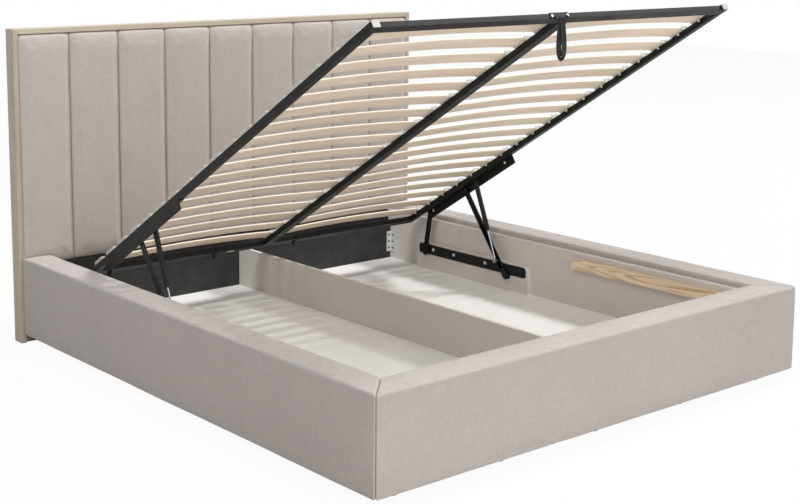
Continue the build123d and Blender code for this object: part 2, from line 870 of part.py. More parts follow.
def top_plate():
    """Angle under the side beam: a thin flange on the beam, a deep one beside the arms."""
    s = (platform_length - top_plate_from_head - top_plate_length, platform_length - top_plate_from_head)
    deep = plate_x((flange_x, platform_half_width), s, (-top_plate_flange, 0), plate_corner)
    square_top = block((flange_x, platform_half_width), s, (-plate_corner * 2, 0))
    flat = block((side_beam_x, platform_half_width), s, (-top_plate_thickness, 0))
    plate = deep + square_top + flat
    for place in (platform_joint(rear_joint_from_head), platform_joint(front_joint_from_head)):
        plate -= bar_x((flange_x - overrun, platform_half_width + overrun), place, pivot_radius)
    return plate - bar_x((flange_x - overrun, platform_half_width + overrun), strut_joint(), pivot_radius)


def platform_joint(from_head):
    return (platform_length - from_head, -joint_drop)


def strut_joint():
    return (platform_length - strut_joint_from_head, -strut_joint_drop)


def top_plate_pins():
    """Rear joint pin, the platform's half of the front joint, and the strut's upper pin."""
    rear = platform_joint(rear_joint_from_head)
    pin = pivot_pin(rear, flange_x, platform_half_width)
    pin += bar_x((platform_half_width, platform_half_width + outer_head), rear, rivet_head_radius)
    front = platform_joint(front_joint_from_head)
    stub = bar_x((arm_outer_x + 2 * open_pivot_gap, platform_half_width), front, pivot_radius)
    stub += bar_x((platform_half_width, platform_half_width + outer_head), front, rivet_head_radius)
    eye = (strut_x - eye_width / 2 - arm_slack, strut_x + eye_width / 2 + arm_slack)
    strut = bar_x((eye[0] - strut_pin_clip, platform_half_width), strut_joint(), pivot_radius)
    strut += bar_x((eye[0] - strut_pin_clip, eye[0]), strut_joint(), stud_collar_radius)
    strut += bar_x((eye[1], flange_x), strut_joint(), stud_collar_radius)
    return [pin, stub, strut]


def plate_bolts():
    bolts = []
    for from_head in plate_bolts_from_head:
        place = (platform_length - from_head, -plate_bolt_drop)
        bolts.append(bar_x((flange_x - plate_bolt_head, flange_x), place, plate_bolt_radius))
    return bolts


# Gas strut, drawn along +Z from its upper eye and then turned to its open place
def strut_ends():
    """Upper joint and lower ball of the open strut, in Y and Z."""
    s, n = strut_joint()
    upper_y = platform_y + s * cos(tilt) + n * sin(tilt)
    upper_z = platform_z - s * sin(tilt) + n * cos(tilt)
    return (upper_y, upper_z), lower_ball_place()


def strut_length():
    upper, lower = strut_ends()
    return hypot(lower[0] - upper[0], lower[1] - upper[1])


def along_strut(shape):
    upper, lower = strut_ends()
    turn = degrees(atan2(lower[1] - upper[1], lower[0] - upper[0]))
    return Pos(strut_x, upper[0], upper[1]) * Rot(turn - 90, 0, 0) * shape


def upright(low, high, radius):
    return Pos(0, 0, (low + high) / 2) * Cylinder(radius, high - low)


def gas_cylinder():
    """Eye, tube and gland, with the bore that the rod slides in."""
    half = eye_width / 2
    body = upright(eye_radius - solid_overlap, cylinder_length - gland_length, cylinder_radius)
    body += upright(0, eye_radius, half)
    body += upright(cylinder_length - gland_length - solid_overlap, cylinder_length, gland_radius)
    body += bar_x((-half, half), (0, 0), eye_radius)
    body -= bar_x((-eye_width, eye_width), (0, 0), pivot_radius + running_clearance)
    bore = (cylinder_length - cylinder_bore_depth, cylinder_length + overrun)
    return body - upright(bore[0], bore[1], rod_radius + running_clearance)


def gas_rod():
    """Rod and the lower socket that reaches beside the ball stud."""
    half = eye_width / 2
    rod = upright(cylinder_length - rod_overlap, strut_length(), rod_radius)
    socket = bar_x((-half, half), (0, strut_length()), socket_radius)
    return rod + socket


# Write every node
save_pair("headboard_post", [headboard_post()])
save("headboard_top_rail", [headboard_top_rail()])
save("headboard_bottom_rail", [headboard_bottom_rail()])
save("headboard_core", [headboard_core()])
save("headboard_lower_panel", [headboard_lower_panel()])
save("headboard_stiffeners", headboard_stiffeners())
save("headboard_back_panel", [headboard_back_panel()])
save("headboard_channels", headboard_channels())

save_pair("side_rail_cover", [side_rail_cover()])
save("footboard_cover", [footboard_cover()])
save_pair("side_rail_frame", side_rail_frame())
save("footboard_frame", footboard_frame())

screws = side_screws()
bolts = [base_bolt(from_headboard) for from_headboard in base_bolts_from_headboard]


def drilled(shape, fasteners):
    for fastener in fasteners:
        shape -= fastener
    return shape


left_screws = [other_side(screw) for screw in screws]
save_pair("side_inner_board", [drilled(side_inner_board(), screws)])
save("foot_inner_board", [foot_inner_board()])
save("head_panel", [drilled(head_panel(), screws + left_screws)])
save("head_bay_lining", head_bay_lining())
save("centre_divider", [centre_divider()])
save_pair("floor_panel", [floor_panel()])
save("floor_bearers", floor_bearers())
save("glide_feet", glide_feet())

batten = drilled(side_batten(), screws)
save("side_battens", [batten, other_side(batten)])
save("foot_rests", foot_rests())
save_pair("mounting_board", [drilled(mounting_board(), bolts)])
save("corner_brackets", [corner_bracket(), other_side(corner_bracket())])
save("wood_screws", screws + left_screws)
save_pair("base_plate", [base_plate()])
save("base_pivot_pins", base_pins() + [other_side(pin) for pin in base_pins()])
save("base_plate_bolts", bolts + [other_side(bolt) for bolt in bolts])

save_pair("rear_arm", [rear_arm()])
save_pair("front_arm", [front_arm(), front_arm_rivet(), ball_stud()])

save_pair("side_beam", on_platform([side_beam()]))
save("centre_beam", on_platform([centre_beam()]))
save("head_beam", on_platform([head_beam()]))
save("foot_beam", on_platform([foot_beam()]))
caps = [beam_end_cap(), other_side(beam_end_cap()), oval_plug()]
save("beam_caps_and_plug", on_platform(caps))
save_pair("slats", on_platform(repeated(slat())))
side_holders = repeated(side_slat_holder())
save("side_slat_holders", on_platform(side_holders + [other_side(holder) for holder in side_holders]))
save("centre_slat_holders", on_platform(repeated(centre_slat_holder())))
save("head_beam_clips", on_platform([head_beam_clip(place) for place in clip_places]))
save("strap_plate", on_platform([strap_plate()]))
platform_bolts = plate_bolts()
platform_bolts += [other_side(bolt) for bolt in platform_bolts] + strap_bolts()
save("platform_bolts", on_platform(platform_bolts))
save_pair("top_plate", on_platform([top_plate()]))
pins = top_plate_pins()
save("platform_pins", on_platform(pins + [other_side(pin) for pin in pins]))

save_pair("gas_cylinder", [along_strut(gas_cylinder())])
save_pair("gas_rod", [along_strut(gas_rod())])
save("pull_strap", on_platform([pull_strap()]))
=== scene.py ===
import json
import math
import random

import bmesh
import bpy
from mathutils import Matrix, Vector, noise


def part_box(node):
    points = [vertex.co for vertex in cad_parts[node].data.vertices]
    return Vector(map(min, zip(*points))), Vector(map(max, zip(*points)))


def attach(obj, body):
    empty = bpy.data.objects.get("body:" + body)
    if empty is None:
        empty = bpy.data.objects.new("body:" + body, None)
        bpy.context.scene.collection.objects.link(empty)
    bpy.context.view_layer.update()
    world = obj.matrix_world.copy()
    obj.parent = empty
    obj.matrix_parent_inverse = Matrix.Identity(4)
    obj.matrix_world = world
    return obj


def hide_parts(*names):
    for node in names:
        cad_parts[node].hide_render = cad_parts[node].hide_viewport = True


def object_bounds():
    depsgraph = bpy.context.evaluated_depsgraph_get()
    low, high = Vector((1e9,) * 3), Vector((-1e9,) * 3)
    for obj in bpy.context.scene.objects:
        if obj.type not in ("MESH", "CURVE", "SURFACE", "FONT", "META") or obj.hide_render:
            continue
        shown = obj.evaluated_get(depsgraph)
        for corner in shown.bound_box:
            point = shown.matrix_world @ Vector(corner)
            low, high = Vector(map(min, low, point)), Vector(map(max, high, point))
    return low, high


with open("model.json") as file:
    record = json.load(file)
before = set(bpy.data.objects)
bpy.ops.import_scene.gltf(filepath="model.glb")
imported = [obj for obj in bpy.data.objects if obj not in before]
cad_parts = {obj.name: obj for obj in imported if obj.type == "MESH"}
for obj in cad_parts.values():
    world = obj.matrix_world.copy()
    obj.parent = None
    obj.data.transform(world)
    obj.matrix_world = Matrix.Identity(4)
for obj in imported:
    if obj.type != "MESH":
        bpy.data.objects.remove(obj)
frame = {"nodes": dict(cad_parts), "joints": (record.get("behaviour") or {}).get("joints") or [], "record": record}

cad_low, cad_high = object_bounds()
nodes = frame["nodes"]

# Sizes in metres, the same as the frame's
HALF_LENGTH = -cad_low.y
HEAD_Y = HALF_LENGTH - 0.062
FOOT_Y = -HALF_LENGTH
RAIL_X = 1.025
RAIL_THICKNESS = 0.124
RAIL_TOP = 0.352
RAIL_BOTTOM = 0.034
COVER_SKIN = 0.020
COVER_TOP = 0.020
LIP_THICKNESS = 0.012
LIP_HEIGHT = 0.038
OUTER_ROUND = 0.010
INNER_ROUND = 0.011
LOWER_ROUND = 0.008
COVER_SOFT = 0.0012
COVER_PUCKER = 0.0011
COVER_SEAM = 0.010
COVER_SEAM_DEPTH = 0.008
COVER_END_ROUND = 0.006

COVER_X = 0.899
WELL_X = 0.877
LINING_DROP = 0.021

PAD_COUNT = 9
PADS_X = 1.0165
PAD_BACK_Y = HEAD_Y + 0.015
PAD_LOW = 0.316
PAD_HIGH = 1.250
PAD_WIDTH = 2 * PADS_X / PAD_COUNT
PAD_SIDE = 0.007
PAD_CROWN = 0.024
PAD_EDGE = 0.036
PAD_SIDE_ROUND = 0.022
PAD_CROWN_ROUND = 0.052
PAD_DRAW = 0.007
PAD_FLATNESS = 0.88
PAD_GAP = 0.0004
PAD_WOBBLE = 0.0014
PAD_PUCKER = 0.0012
PAD_BEAD = 0.0012
PAD_BEAD_INSET = 0.007
PAD_VOXEL = 0.005
PAD_PRESSURE = 1.4
PAD_SWELL = 0.0025
PAD_SIDE_SHARE = 0.985

TILT = math.radians(31.8)
PLATFORM_LENGTH = 2.040
JOINT_FROM_HEAD = 0.153
JOINT_DROP = 0.019
BEAM_HEIGHT = 0.022
SLAT_ROWS = 18
SLAT_WIDTH = 0.062
SLAT_THICKNESS = 0.007
SLAT_CAMBER = 0.012
SLAT_LIFT = 0.0025
SLAT_EDGE_ROUND = 0.0026
SLAT_EDGE_BAND = 0.0012
SLAT_INNER = 0.006
SLAT_OUTER = 0.836
FIRST_SLAT = 0.118
LAST_SLAT_TO_HEAD = 0.084
SLAT_PITCH = (PLATFORM_LENGTH - LAST_SLAT_TO_HEAD - FIRST_SLAT) / (SLAT_ROWS - 1)

STRAP_WIDTH = 0.024
STRAP_THICKNESS = 0.0020
STRAP_SPREAD = 0.0155
STRAP_DRIFT = 0.004
STRAP_TURN = math.radians(14)
STRAP_SHORT = 0.008
STRAP_PIN_INSET = 0.003
STRAP_STEPS = 72

# The photo's camera, with its focal length and shift in pixels of an image this wide
IMAGE_WIDTH = 800
CAMERA_PLACE = (-3.5467, -2.9740 - HALF_LENGTH, 1.6445)
CAMERA_YAW = 0.677333
CAMERA_PITCH = 0.144543
CAMERA_ROLL = 0.002013
FOCAL_PIXELS = 1428.874
SHIFT_PIXELS = (59.579, -110.319)

# Lamps as (name, place, height aimed at, size, power)
LAMPS = (
    ("right", (8.6, -0.1, 8.0), 0.3, 1.8, 965),
    ("left", (-3.4, -0.8, 5.6), 0.3, 2.5, 180),
    ("top", (0.1, -0.45, 5.8), 0.3, 0.5, 60),
    ("front", (-0.8, -6.4, 2.6), 0.5, 4.0, 188),
)
WORLD_STRENGTH = 0.06
FLOOR_COLOUR = (0.82, 0.79, 0.765)
FLOOR_WHITE = 0.95
FLOOR_HALF = 14


# Shader helpers
class Shader:
    """A material being built: one node tree with its surface shader."""

    def __init__(self, name, roughness=0.5, **constants):
        self.material = bpy.data.materials.new(name)
        self.material.use_nodes = True
        self.tree = self.material.node_tree
        self.surface = self.tree.nodes["Principled BSDF"]
        self.surface.inputs["Roughness"].default_value = roughness
        for socket, value in constants.items():
            self.surface.inputs[socket.replace("_", " ")].default_value = value
        self.place = self.add("ShaderNodeTexCoord").outputs["Object"]

    def add(self, kind, inputs=None, **settings):
        node = self.tree.nodes.new(kind)
        for key, value in settings.items():
            setattr(node, key, value)
        for key, value in (inputs or {}).items():
            socket = node.inputs[key]
            if isinstance(value, bpy.types.NodeSocket):
                self.tree.links.new(value, socket)
            else:
                socket.default_value = value
        return node

    def stretched(self, scale, turn=(0, 0, 0)):
        """Object coordinates turned and then scaled along each axis."""
        turned = self.add("ShaderNodeMapping", {"Vector": self.place, "Rotation": turn})
        spread = self.add("ShaderNodeMapping", {"Vector": turned.outputs["Vector"], "Scale": scale})
        return spread.outputs["Vector"]

    def noise(self, scale, detail=3, roughness=0.5, vector=None, distortion=0):
        values = {"Scale": scale, "Detail": detail, "Roughness": roughness, "Distortion": distortion}
        values["Vector"] = vector or self.place
        return self.add("ShaderNodeTexNoise", values).outputs["Fac"]

    def bands(self, scale, direction, distortion=0):
        values = {"Scale": scale, "Distortion": distortion, "Detail": 1.0, "Vector": self.place}
        node = self.add("ShaderNodeTexWave", values, bands_direction=direction)
        return node.outputs["Fac"]

    def ramp(self, factor, stops):
        node = self.add("ShaderNodeValToRGB", {"Fac": factor})
        ramp = node.color_ramp
        while len(ramp.elements) < len(stops):
            ramp.elements.new(0.5)
        for element, (place, colour) in zip(ramp.elements, stops):
            element.position = place
            element.color = (*colour, 1)
        return node.outputs["Color"]

    def grey(self, factor, low, high, start=0.3, end=0.7):
        """A factor stretched to run from low to high."""
        values = {"Value": factor, "From Min": start, "From Max": end, "To Min": low, "To Max": high}
        return self.add("ShaderNodeMapRange", values).outputs["Result"]

    def maths(self, operation, a, b):
        node = self.add("ShaderNodeMath", operation=operation)
        for index, value in enumerate((a, b)):
            if isinstance(value, bpy.types.NodeSocket):
                self.tree.links.new(value, node.inputs[index])
            else:
                node.inputs[index].default_value = value
        return node.outputs[0]

    def mix(self, factor, a, b, blend="MIX"):
        node = self.add("ShaderNodeMix", data_type="RGBA", blend_type=blend)
        for index, value in ((0, factor), (6, a), (7, b)):
            if isinstance(value, bpy.types.NodeSocket):
                self.tree.links.new(value, node.inputs[index])
            elif index == 0:
                node.inputs[index].default_value = value
            else:
                node.inputs[index].default_value = (*value, 1)
        return node.outputs[2]

    def shade(self, colour, factor):
        """A colour made lighter or darker by a grey factor around one."""
        grey = self.add("ShaderNodeCombineColor", {"Red": factor, "Green": factor, "Blue": factor})
        return self.mix(1.0, colour, grey.outputs["Color"], "MULTIPLY")

    def colour(self, value):
        if isinstance(value, bpy.types.NodeSocket):
            self.tree.links.new(value, self.surface.inputs["Base Color"])
        else:
            self.surface.inputs["Base Color"].default_value = (*value, 1)

    def roughness(self, value):
        self.tree.links.new(value, self.surface.inputs["Roughness"])

    def bump(self, height, distance, strength=1.0):
        values = {"Height": height, "Distance": distance, "Strength": strength}
        node = self.add("ShaderNodeBump", values)
        self.tree.links.new(node.outputs["Normal"], self.surface.inputs["Normal"])


def linear(red, green, blue):
    """A colour given as it looks on screen, 0 to 255, in the renderer's units."""
    out = []
    for value in (red, green, blue):
        share = value / 255
        out.append(share / 12.92 if share <= 0.04045 else ((share + 0.055) / 1.055) ** 2.4)
    return tuple(out)


# Materials
def linen(name, tint):
    """Woven linen look: fine threads both ways, slubs and coarser yarns along them, a soft mottle."""
    s = Shader(name, roughness=0.9, Sheen_Weight=0.2, Sheen_Roughness=0.4, Specular_IOR_Level=0.2)
    level_slubs = s.noise(100, 4, 0.65, s.stretched((0.45, 0.45, 7)))
    upright_slubs = s.noise(100, 4, 0.65, s.stretched((6, 6, 0.4)))
    slubs = s.maths("ADD", level_slubs, upright_slubs)
    mottle = s.noise(5, 4, 0.6)
    colour = s.shade(tint, s.grey(slubs, 0.90, 1.075, 0.78, 1.22))
    level_weft = s.noise(42, 3, 0.7, s.stretched((0.5, 0.5, 4)))
    upright_weft = s.noise(42, 3, 0.7, s.stretched((4, 4, 0.5)))
    colour = s.shade(colour, s.grey(s.maths("ADD", level_weft, upright_weft), 0.95, 1.04, 0.8, 1.2))
    s.colour(s.shade(colour, s.grey(mottle, 0.975, 1.025)))
    threads = s.maths("ADD", s.bands(230, "X", distortion=0.4), s.bands(230, "Z", distortion=0.4))
    threads = s.maths("ADD", threads, s.bands(230, "Y", distortion=0.4))
    height = s.maths("ADD", s.maths("MULTIPLY", threads, 0.3), slubs)
    s.bump(height, 0.0008, 0.5)
    return s.material


def veneer(name, light, dark, turn, rough=0.5, grain=1.0):
    """Straight-grained wood whose grain runs along the turned X axis."""
    s = Shader(name, roughness=rough, Specular_IOR_Level=0.35)
    along = s.stretched((0.9, 14, 14), turn)
    figure = s.noise(3.2, 6, 0.62, along, distortion=0.6)
    fibres = s.noise(26, 4, 0.7, s.stretched((0.35, 11, 11), turn))
    colour = s.mix(s.grey(figure, 0.0, 1.0, 0.32, 0.68), dark, light)
    s.colour(s.shade(colour, s.grey(fibres, 0.94, 1.05)))
    s.roughness(s.grey(fibres, rough - 0.06, rough + 0.08))
    s.bump(fibres, 0.0004 * grain, 0.5)
    return s.material


def pine(name, grain, fine):
    """Pine sawn flat: warped growth lines along its length over fine fibres."""
    s = Shader(name, roughness=0.6, Specular_IOR_Level=0.25)
    along = s.stretched(grain)
    warp = s.noise(2.2, 2, 0.5, along, distortion=1.5)
    rings = s.maths("PINGPONG", s.maths("MULTIPLY", warp, 9), 1)
    fibres = s.noise(60, 4, 0.75, s.stretched(fine))
    stops = [(0.0, linear(246, 225, 198)), (0.55, linear(237, 211, 181)), (0.95, linear(207, 170, 132))]
    s.colour(s.shade(s.ramp(rings, stops), s.grey(fibres, 0.94, 1.05)))
    s.bump(s.maths("ADD", rings, fibres), 0.0003, 0.4)
    return s.material


def slat_wood(name):
    """Bent laminated slat: pale veneer, paler cut edges and a tone of its own for each slat."""
    s = Shader(name, roughness=0.5, Specular_IOR_Level=0.3)
    own = s.add("ShaderNodeAttribute", attribute_name="tone").outputs["Fac"]
    edge = s.add("ShaderNodeAttribute", attribute_name="edge").outputs["Fac"]
    figure = s.noise(4, 5, 0.6, s.stretched((0.7, 10, 10)), distortion=0.5)
    pores = s.noise(70, 3, 0.8, s.stretched((0.22, 6, 6)))
    colour = s.mix(s.grey(figure, 0, 1, 0.32, 0.68), linear(214, 198, 176), linear(230, 216, 197))
    colour = s.mix(edge, colour, linear(240, 228, 210))
    colour = s.shade(colour, s.grey(pores, 0.94, 1.04))
    s.colour(s.shade(colour, s.grey(own, 0.94, 1.05, 0.0, 1.0)))
    s.bump(pores, 0.0003, 0.4)
    return s.material


def laminate(name, tint, rough=0.55):
    """Melamine-faced board: even colour, faint mottle and a fine pressed texture."""
    s = Shader(name, roughness=rough, Specular_IOR_Level=0.35)
    cloud = s.noise(5, 3, 0.6)
    press = s.noise(900, 2, 0.6)
    s.colour(s.shade(tint, s.grey(cloud, 0.97, 1.03)))
    s.roughness(s.grey(press, rough - 0.05, rough + 0.08))
    s.bump(press, 0.0003, 0.3)
    return s.material


def steel(name, tint, rough=0.42):
    """Powder-coated steel with a fine orange peel and slight wear in its gloss."""
    s = Shader(name, roughness=rough, Specular_IOR_Level=0.2)
    peel = s.noise(700, 2, 0.5)
    patches = s.noise(14, 4, 0.6)
    s.colour(s.shade(tint, s.grey(patches, 0.92, 1.10)))
    s.roughness(s.grey(patches, rough - 0.07, rough + 0.10))
    s.bump(peel, 0.0002, 0.35)
    return s.material


def zinc(name, tint, metal=0.45):
    """Zinc plating with a fine spangle."""
    s = Shader(name, roughness=0.34, Metallic=metal)
    spangle = s.add("ShaderNodeTexVoronoi", {"Vector": s.place, "Scale": 260.0}).outputs["Distance"]
    s.colour(s.shade(tint, s.grey(spangle, 0.88, 1.06, 0, 0.6)))
    s.roughness(s.grey(spangle, 0.26, 0.42, 0, 0.6))
    return s.material


def polished(name):
    """Polished metal with faint drawn lines."""
    s = Shader(name, roughness=0.16, Metallic=1.0)
    lines = s.noise(120, 3, 0.6, s.stretched((1, 6, 1)))
    s.colour(s.shade(linear(146, 148, 150), s.grey(lines, 0.95, 1.04)))
    s.roughness(s.grey(lines, 0.12, 0.22))
    return s.material


def moulded(name, tint, rough=0.4):
    """Moulded plastic with a fine grain."""
    s = Shader(name, roughness=rough, Specular_IOR_Level=0.45)
    grain = s.noise(1100, 2, 0.5)
    soft = s.noise(30, 3, 0.5)
    s.colour(s.shade(tint, s.grey(soft, 0.97, 1.03)))
    s.bump(grain, 0.0002, 0.35)
    return s.material


def felt(name, plinth=0.0):
    """Dark non-woven lining: matt, mottled like pressed fibres, taupe below the plinth height."""
    s = Shader(name, roughness=0.95, Sheen_Weight=0.1, Specular_IOR_Level=0.15)
    clouds = s.noise(22, 5, 0.7)
    fibres = s.noise(240, 4, 0.8)
    colour = s.mix(s.grey(clouds, 0, 1, 0.36, 0.66), linear(48, 48, 47), linear(61, 60, 58))
    if plinth:
        height = s.add("ShaderNodeSeparateXYZ", {"Vector": s.place}).outputs["Z"]
        colour = s.mix(s.maths("LESS_THAN", height, plinth), colour, linear(172, 161, 148))
    s.colour(s.shade(colour, s.grey(fibres, 0.88, 1.12)))
    s.bump(s.maths("ADD", clouds, fibres), 0.0012, 0.5)
    return s.material


def webbing(name):
    """Black webbing: ribs across, a ridge of threads along its edges."""
    s = Shader(name, roughness=0.6, Sheen_Weight=0.05, Specular_IOR_Level=0.3)
    ribs = s.bands(260, "Z", distortion=0.2)
    threads = s.noise(500, 3, 0.7, s.stretched((1.5, 1.5, 0.4)))
    s.colour(s.shade(linear(21, 21, 21), s.grey(threads, 0.75, 1.3)))
    s.bump(s.maths("ADD", ribs, threads), 0.0006, 0.7)
    return s.material


FABRIC = linen("linen_fabric", linear(191, 184, 180))
FRAME_WOOD = veneer("taupe_wood", linear(196, 184, 167), linear(178, 166, 148), (0, math.pi / 2, 0), 0.5)
# Painted light: the same taupe wood with its grain level, its colour painted lighter than the posts' as a stand-in
# for the light on the headboard's top and bottom rails
FRAME_WOOD_LEVEL_LIT = veneer("taupe_wood_level_lit", linear(206, 195, 180), linear(189, 178, 162), (0, 0, 0), 0.5)
CARCASS = veneer("carcass_wood", linear(206, 184, 150), linear(182, 156, 118), (0, 0, 0), 0.7, 1.6)
BOARD = laminate("board_laminate", linear(213, 207, 202))
FLOOR_BOARD = laminate("floor_laminate", linear(235, 233, 231), 0.5)
PINE = pine("pine_wood", (7, 0.5, 9), (10, 0.4, 10))
PINE_ACROSS = pine("pine_wood_across", (0.5, 7, 9), (0.4, 10, 10))
SLAT = slat_wood("slat_veneer")
BLACK_STEEL = steel("black_powder_coat", linear(24, 23, 22), 0.5)
ZINC = zinc("zinc_plate", linear(226, 227, 226))
DARK_ZINC = zinc("dark_screws", linear(52, 52, 54), 0.5)
CHROME = polished("polished_rod")
WHITE = moulded("white_moulding", linear(200, 198, 192))
BLACK = moulded("black_moulding", linear(48, 47, 47), 0.55)
LINING = felt("dark_lining")
LOWER_LINING = felt("lower_lining", RAIL_BOTTOM + 0.01)
WEBBING = webbing("black_webbing")

SLOT_MATERIALS = {
    "fabric": FABRIC,
    "frame_wood": FRAME_WOOD,
    "board": BOARD,
    "carcass_wood": CARCASS,
    "floor_board": FLOOR_BOARD,
    "dark_lining": LINING,
    "pine": PINE,
    "slat_wood": SLAT,
    "black_steel": BLACK_STEEL,
    "zinc": ZINC,
    "chrome_rod": CHROME,
    "white_plastic": WHITE,
    "black_plastic": BLACK,
    "webbing": WEBBING,
}

# Nodes whose look differs from the rest of their slot
OWN_MATERIALS = {
    # The headboard's top and bottom rails take the frame wood painted lighter, as painted light
    "headboard_top_rail": FRAME_WOOD_LEVEL_LIT,
    "headboard_bottom_rail": FRAME_WOOD_LEVEL_LIT,
    "headboard_lower_panel": LOWER_LINING,
    "foot_rests": PINE_ACROSS,
    "wood_screws": DARK_ZINC,
}

# Edge rounding of the hard parts, by material slot
EDGE_ROUNDS = {
    "frame_wood": 0.0015,
    "board": 0.0010,
    "carcass_wood": 0.0008,
    "floor_board": 0.0006,
    "pine": 0.0025,
    "black_steel": 0.0009,
    "dark_lining": 0.0012,
    "white_plastic": 0.0012,
}


# Mesh helpers
def new_piece(name, mesh, body, material, replaced):
    """Adds a visual piece on a body, in place of the CAD nodes it stands for."""
    piece = bpy.data.objects.new(name, mesh)
    bpy.context.scene.collection.objects.link(piece)
    mesh.materials.append(material)
    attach(piece, body)
    if replaced:
        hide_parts(*replaced)
    return piece


def mesh_data(name, mesh):
    """Turns a mesh being built into mesh data and frees it."""
    data = bpy.data.meshes.new(name)
    mesh.to_mesh(data)
    mesh.free()
    return data


def smooth(mesh):
    for polygon in mesh.polygons:
        polygon.use_smooth = True


def finish_cad_nodes():
    """Gives every CAD node its material, and rounds the edges of the hard ones."""
    slots = {row["node"]: row["material_slot"] for row in frame["record"]["subparts"]}
    for name, piece in nodes.items():
        slot = slots[name]
        piece.data.materials.clear()
        piece.data.materials.append(OWN_MATERIALS.get(name, SLOT_MATERIALS[slot]))
        if slot in EDGE_ROUNDS:
            round_edges(piece, EDGE_ROUNDS[slot])


def round_edges(piece, width):
    """Rounds a hard part's sharp edges, with normals of its own in place of the imported ones."""
    custom = piece.data.attributes.get("custom_normal")
    if custom:
        piece.data.attributes.remove(custom)
    smooth(piece.data)
    weld = piece.modifiers.new("weld", "WELD")
    weld.merge_threshold = 1e-5
    bevel = piece.modifiers.new("round", "BEVEL")
    bevel.width = width
    bevel.segments = 2
    bevel.limit_method = "ANGLE"
    bevel.angle_limit = math.radians(35)
    bevel.use_clamp_overlap = True
    normals = piece.modifiers.new("normals", "WEIGHTED_NORMAL")
    normals.keep_sharp = True


def swell(piece, voxel, pressure, cap, held, frames=20):
    """Remeshes a pad, lets cloth under pressure fill it by up to the cap, and eases the result.

    Points that held(co) picks stay put.
    """
    scene = bpy.context.scene
    remesh = piece.modifiers.new("remesh", "REMESH")
    remesh.mode = "VOXEL"
    remesh.voxel_size = voxel
    apply_modifiers(piece)
    start = [vertex.co.copy() for vertex in piece.data.vertices]
    group = piece.vertex_groups.new(name="held")
    group.add([vertex.index for vertex in piece.data.vertices if held(vertex.co)], 1.0, "REPLACE")
    cloth = piece.modifiers.new("cloth", "CLOTH")
    settings = cloth.settings
    settings.use_pressure = True
    settings.uniform_pressure_force = pressure
    settings.effector_weights.gravity = 0
    settings.vertex_group_mass = group.name
    settings.quality = 5
    settings.tension_stiffness = 25
    settings.compression_stiffness = 25
    settings.bending_stiffness = 10
    cloth.point_cache.frame_start = 1
    cloth.point_cache.frame_end = frames
    for step in range(1, frames + 1):
        scene.frame_set(step)
    apply_modifiers(piece)
    scene.frame_set(1)
    for vertex, before in zip(piece.data.vertices, start):
        move = vertex.co - before
        if move.length > cap:
            vertex.co = before + move.normalized() * cap
    ease = piece.modifiers.new("ease", "SMOOTH")
    ease.factor = 0.5
    ease.iterations = 7
    apply_modifiers(piece)
    piece.vertex_groups.clear()


def apply_modifiers(piece):
    """Replaces a piece's mesh by what its modifiers make of it."""
    graph = bpy.context.evaluated_depsgraph_get()
    mesh = bpy.data.meshes.new_from_object(piece.evaluated_get(graph))
    piece.modifiers.clear()
    piece.data = mesh


# Headboard pads
def quarter_round(share):
    """Height of a quarter circle over its own run, both from nought to one."""
    return math.sqrt(max(0.0, 1 - (1 - min(share, 1)) ** 2))


def pad_mesh(name, half, low, high, side, crown):
    """A channel pad as a closed grid: flat back, short sides, crowned front, ends that roll over."""
    across = 48
    rows = 110
    mesh = bmesh.new()
    front = []
    back = []
    for j in range(rows + 1):
        share = j / rows
        z = low + (high - low) * (0.5 - 0.5 * math.cos(math.pi * share)) * 0.5 + (high - low) * share * 0.5
        near_end = min(z - low, high - z)
        side_roll = quarter_round(near_end / PAD_SIDE_ROUND)
        crown_roll = quarter_round(near_end / PAD_CROWN_ROUND)
        draw = PAD_DRAW * (1 - side_roll)
        front_row = []
        back_row = []
        for i in range(across + 1):
            t = -math.cos(math.pi * i / across)
            x = t * (half - draw)
            edge_roll = quarter_round((1 - abs(t)) * half / PAD_EDGE)
            bulge = PAD_FLATNESS * edge_roll + (1 - PAD_FLATNESS) * (1 - t * t)
            depth = side * (0.2 + 0.8 * side_roll) + crown * bulge * crown_roll
            front_row.append(mesh.verts.new((x, -depth, z)))
            back_row.append(mesh.verts.new((x, 0, z)))
        front.append(front_row)
        back.append(back_row)
    for j in range(rows):
        for i in range(across):
            mesh.faces.new((front[j][i], front[j][i + 1], front[j + 1][i + 1], front[j + 1][i]))
            mesh.faces.new((back[j][i], back[j + 1][i], back[j + 1][i + 1], back[j][i + 1]))
        mesh.faces.new((front[j][0], front[j + 1][0], back[j + 1][0], back[j][0]))
        mesh.faces.new((front[j][across], back[j][across], back[j + 1][across], front[j + 1][across]))
    for i in range(across):
        mesh.faces.new((front[0][i], back[0][i], back[0][i + 1], front[0][i + 1]))
        mesh.faces.new((front[rows][i], front[rows][i + 1], back[rows][i + 1], back[rows][i]))
    return mesh_data(name, mesh)


def pad_form():
    """One pad about its own middle: a slightly small form swelled by cloth, then widened to its place."""
    half = PAD_WIDTH / 2 - 0.0008
    mesh = pad_mesh("pad_form", half, PAD_LOW, PAD_HIGH, PAD_SIDE - 0.001, PAD_CROWN - 0.0015)
    form = bpy.data.objects.new("pad_form", mesh)
    bpy.context.scene.collection.objects.link(form)
    swell(form, PAD_VOXEL, PAD_PRESSURE, PAD_SWELL, lambda co: co.y > -PAD_VOXEL)
    mesh = form.data.copy()
    widths = sorted(abs(vertex.co.x) for vertex in mesh.vertices)
    stretch = PAD_WIDTH / 2 / widths[int(len(widths) * PAD_SIDE_SHARE)]
    for vertex in mesh.vertices:
        vertex.co.x *= stretch
    bpy.data.objects.remove(form)
    return mesh


